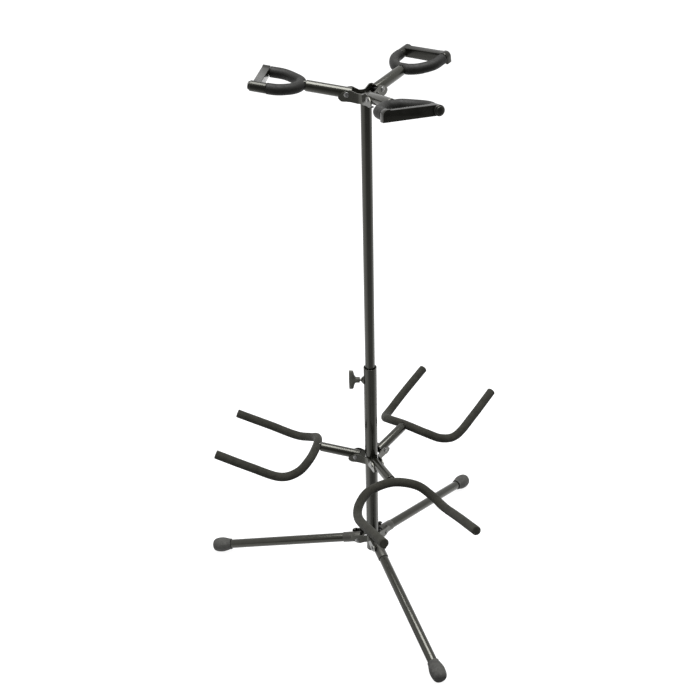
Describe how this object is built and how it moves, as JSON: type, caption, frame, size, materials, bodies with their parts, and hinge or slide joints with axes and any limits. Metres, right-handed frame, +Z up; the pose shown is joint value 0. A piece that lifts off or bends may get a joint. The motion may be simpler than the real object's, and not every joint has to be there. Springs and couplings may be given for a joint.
{
  "type": "triple guitar stand",
  "caption": "Telescopic mast on folding tube legs, with foam cradles for guitar bodies and gated yokes for the necks, all round one column.",
  "frame": {"origin": "centre of the stand's plan bounding box, on the floor that the feet rest on", "axes": "+Z up along the mast, -X along the arms named a"},
  "size_m": [0.5866, 0.6186, 1.0746],
  "materials": {
    "black_paint": "semi-gloss black powder coat on steel tube",
    "plate_paint": "glossy black paint on bent sheet steel",
    "blackened_steel": "dark domed rivet heads",
    "sleeve_paint": "satin black sleeve",
    "grey_rubber": "matt dark grey rubber",
    "charcoal_foam": "matt closed-cell foam with a fine grain",
    "soft_cover": "soft cover with a low sheen",
    "gate_plastic": "glossy black moulded plastic",
    "guide_plastic": "matt black plastic",
    "knob_plastic": "satin black moulded plastic",
    "zinc_steel": "zinc plated screw"
  },
  "bodies": {
    "base": {"lower_tube": "black_paint", "mast_plug": "guide_plastic", "guide_bush": "guide_plastic", "base_plate_a": "plate_paint", "base_plate_b": "plate_paint", "base_plate_c": "plate_paint", "base_rivet_a": "blackened_steel", "base_rivet_b": "blackened_steel", "base_rivet_c": "blackened_steel", "middle_plate_a": "plate_paint", "middle_plate_b": "plate_paint", "middle_plate_c": "plate_paint", "middle_rivet_a": "blackened_steel", "middle_rivet_b": "blackened_steel", "middle_rivet_c": "blackened_steel"},
    "leg_a": {"leg_tube_a": "black_paint", "leg_sleeve_a": "sleeve_paint", "foot_a": "grey_rubber"},
    "cradle_a": {"cradle_arm_a": "black_paint", "foam_left_a": "charcoal_foam", "foam_right_a": "charcoal_foam"},
    "leg_b": {"leg_tube_b": "black_paint", "leg_sleeve_b": "sleeve_paint", "foot_b": "grey_rubber"},
    "cradle_b": {"cradle_arm_b": "black_paint", "foam_left_b": "charcoal_foam", "foam_right_b": "charcoal_foam"},
    "leg_c": {"leg_tube_c": "black_paint", "leg_sleeve_c": "sleeve_paint", "foot_c": "grey_rubber"},
    "cradle_c": {"cradle_arm_c": "black_paint", "foam_left_c": "charcoal_foam", "foam_right_c": "charcoal_foam"},
    "upper_mast": {"upper_tube": "black_paint", "top_cap": "guide_plastic", "top_collar": "black_paint", "top_plate_a": "plate_paint", "top_plate_b": "plate_paint", "top_plate_c": "plate_paint", "top_rivet_a": "blackened_steel", "top_rivet_b": "blackened_steel", "top_rivet_c": "blackened_steel"},
    "yoke_a": {"yoke_arm_a": "black_paint", "yoke_cover_left_a": "soft_cover", "yoke_cover_right_a": "soft_cover", "gate_cap_a": "gate_plastic"},
    "yoke_b": {"yoke_arm_b": "black_paint", "yoke_cover_left_b": "soft_cover", "yoke_cover_right_b": "soft_cover", "gate_cap_b": "gate_plastic"},
    "yoke_c": {"yoke_arm_c": "black_paint", "yoke_cover_left_c": "soft_cover", "yoke_cover_right_c": "soft_cover", "gate_cap_c": "gate_plastic"},
    "gate_a": {"gate_a": "gate_plastic"},
    "gate_b": {"gate_b": "gate_plastic"},
    "gate_c": {"gate_c": "gate_plastic"},
    "clamp": {"clamp_knob": "knob_plastic", "clamp_screw": "zinc_steel"}
  },
  "joints": [
    {"name": "mast_height", "type": "slide", "parent": "base", "child": "upper_mast", "axis": [0, 0, 1], "range_m": [-0.2, 0.15]},
    {"name": "clamp_turn", "type": "hinge", "parent": "base", "child": "clamp", "pos_m": [0.05995, 0, 0.4755], "axis": [-0.9945, -0.1045, 0], "range_deg": [0, 360]},
    {"name": "leg_fold_a", "type": "hinge", "parent": "base", "child": "leg_a", "pos_m": [0.02895, 0, 0.077], "axis": [0, -1, 0], "range_deg": [0, 75]},
    {"name": "leg_fold_b", "type": "hinge", "parent": "base", "child": "leg_b", "pos_m": [0.07545, -0.02685, 0.077], "axis": [0.866, 0.5, 0], "range_deg": [0, 75]},
    {"name": "leg_fold_c", "type": "hinge", "parent": "base", "child": "leg_c", "pos_m": [0.07545, 0.02685, 0.077], "axis": [-0.866, 0.5, 0], "range_deg": [0, 75]},
    {"name": "cradle_fold_a", "type": "hinge", "parent": "base", "child": "cradle_a", "pos_m": [0.02895, 0, 0.295], "axis": [0, 1, 0], "range_deg": [0, 70]},
    {"name": "cradle_fold_b", "type": "hinge", "parent": "base", "child": "cradle_b", "pos_m": [0.07545, -0.02685, 0.295], "axis": [-0.866, -0.5, 0], "range_deg": [0, 70]},
    {"name": "cradle_fold_c", "type": "hinge", "parent": "base", "child": "cradle_c", "pos_m": [0.07545, 0.02685, 0.295], "axis": [0.866, -0.5, 0], "range_deg": [0, 70]},
    {"name": "yoke_fold_a", "type": "hinge", "parent": "upper_mast", "child": "yoke_a", "pos_m": [0.02898, -0.00135, 1.041], "axis": [-0.0436, 0.999, 0], "range_deg": [0, 75]},
    {"name": "yoke_fold_b", "type": "hinge", "parent": "upper_mast", "child": "yoke_b", "pos_m": [0.07661, -0.02615, 1.041], "axis": [-0.8434, -0.5373, 0], "range_deg": [0, 75]},
    {"name": "yoke_fold_c", "type": "hinge", "parent": "upper_mast", "child": "yoke_c", "pos_m": [0.07426, 0.0275, 1.041], "axis": [0.887, -0.4617, 0], "range_deg": [0, 75]},
    {"name": "gate_flip_a", "type": "hinge", "parent": "yoke_a", "child": "gate_a", "pos_m": [-0.10956, -0.04894, 1.06173], "axis": [0.9867, 0.0431, -0.1564], "range_deg": [0, 150]},
    {"name": "gate_flip_b", "type": "hinge", "parent": "yoke_b", "child": "gate_b", "pos_m": [0.18715, -0.1226, 1.06009], "axis": [-0.5307, 0.833, -0.1564], "range_deg": [0, 150]},
    {"name": "gate_flip_c", "type": "hinge", "parent": "yoke_c", "child": "gate_c", "pos_m": [0.10244, 0.17139, 1.06073], "axis": [-0.4561, -0.8761, -0.1564], "range_deg": [0, 150]}
  ]
}
